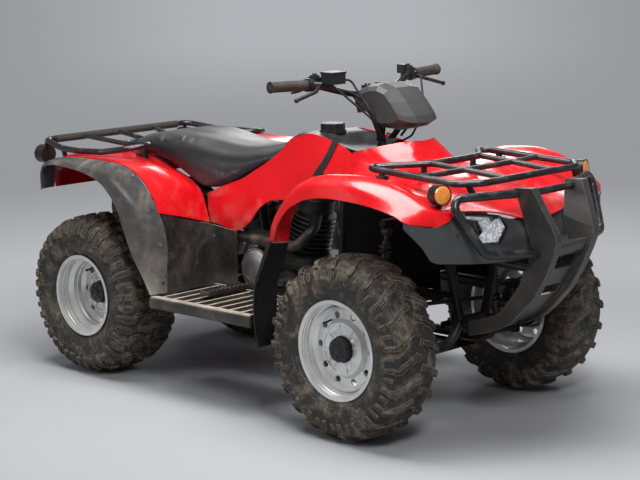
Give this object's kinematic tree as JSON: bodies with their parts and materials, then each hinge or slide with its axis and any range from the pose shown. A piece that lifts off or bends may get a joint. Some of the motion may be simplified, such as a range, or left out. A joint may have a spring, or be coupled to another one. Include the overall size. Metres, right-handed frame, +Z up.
{
  "type": "utility quad bike",
  "caption": "Utility quad bike with front and rear luggage racks, bull bar, padded saddle, handlebar steering, sprung wishbone front and solid rear axle on knobbly tyres.",
  "frame": {"origin": "on the ground under the middle of the whole vehicle's outline", "axes": "+X forward, +Y to the rider's left, +Z up"},
  "size_m": [2.217, 1.051, 1.12],
  "materials": {
    "red_plastic": "gloss",
    "grey_plastic": "matte",
    "black_plastic": "matte",
    "black_steel": "satin",
    "rim_steel": "satin",
    "tyre": "matte",
    "rubber": "matte",
    "seat_vinyl": "satin",
    "cast_metal": "cast",
    "dark_metal": "matte",
    "lamp_clear": "clear",
    "lamp_amber": "clear"
  },
  "bodies": {
    "chassis": {"bumper_guard": "grey_plastic", "bumper_tubes": "black_steel", "inner_guards": "black_plastic", "engine": "cast_metal", "exhaust": "dark_metal", "foot_pegs": "dark_metal", "foot_levers": "dark_metal", "footwells": "black_plastic", "frame": "black_steel", "front_arms": "black_steel", "front_cover": "grey_plastic", "front_fenders": "red_plastic", "front_flaps": "black_plastic", "front_indicators": "lamp_amber", "front_rack": "black_steel", "front_shocks": "dark_metal", "headlights": "lamp_clear", "hood": "red_plastic", "rear_fender": "red_plastic", "rear_flares": "grey_plastic", "rear_lamps": "black_plastic", "rear_rack": "black_steel", "rear_shock": "dark_metal", "seat": "seat_vinyl", "side_covers": "red_plastic", "swingarm": "black_steel", "tank_straps": "black_plastic", "tank_top": "black_plastic"},
    "steering": {"steering_shaft": "black_steel", "handlebar": "black_steel", "grips": "rubber", "controls": "black_plastic", "cables": "rubber", "nacelle": "grey_plastic"},
    "tie_rod_left": {"tie_rod_left": "dark_metal"},
    "tie_rod_right": {"tie_rod_right": "dark_metal"},
    "knuckle_left": {"knuckle_left": "cast_metal"},
    "knuckle_right": {"knuckle_right": "cast_metal"},
    "wheel_front_left": {"front_rim_left": "rim_steel", "front_tyre_left": "tyre", "front_hub_left": "dark_metal"},
    "wheel_front_right": {"front_rim_right": "rim_steel", "front_tyre_right": "tyre", "front_hub_right": "dark_metal"},
    "rear_wheels": {"rear_axle": "dark_metal", "rear_rims": "rim_steel", "rear_tyres": "tyre"}
  },
  "joints": [
    {"name": "steer", "type": "hinge", "parent": "chassis", "child": "steering", "pos_m": [0.4726, 0, 0.33], "axis": [-0.3007, 0, 0.9537], "range_deg": [-38, 38]},
    {"name": "kingpin_left", "type": "hinge", "parent": "chassis", "child": "knuckle_left", "pos_m": [0.56135, 0.372, 0.293], "axis": [-0.0872, 0, 0.9962], "range_deg": [-30.4, 30.4]},
    {"name": "rod_left", "type": "hinge", "parent": "steering", "child": "tie_rod_left", "pos_m": [0.41156, 0.026, 0.31076], "axis": [-0.3007, 0, 0.9537], "range_deg": [-38, 38]},
    {"name": "spin_front_left", "type": "hinge", "parent": "knuckle_left", "child": "wheel_front_left", "pos_m": [0.56135, 0.423, 0.293], "axis": [0, 1, 0], "continuous": true},
    {"name": "kingpin_right", "type": "hinge", "parent": "chassis", "child": "knuckle_right", "pos_m": [0.56135, -0.372, 0.293], "axis": [-0.0872, 0, 0.9962], "range_deg": [-30.4, 30.4]},
    {"name": "rod_right", "type": "hinge", "parent": "steering", "child": "tie_rod_right", "pos_m": [0.41156, -0.026, 0.31076], "axis": [-0.3007, 0, 0.9537], "range_deg": [-38, 38]},
    {"name": "spin_front_right", "type": "hinge", "parent": "knuckle_right", "child": "wheel_front_right", "pos_m": [0.56135, -0.423, 0.293], "axis": [0, 1, 0], "continuous": true},
    {"name": "spin_rear", "type": "hinge", "parent": "chassis", "child": "rear_wheels", "pos_m": [-0.71865, 0, 0.286], "axis": [0, 1, 0], "continuous": true}
  ],
  "couplings": [
    {"joint": "kingpin_left", "follows": "steer", "ratio": 0.8},
    {"joint": "rod_left", "follows": "steer", "ratio": -1},
    {"joint": "kingpin_right", "follows": "steer", "ratio": 0.8},
    {"joint": "rod_right", "follows": "steer", "ratio": -1}
  ]
}
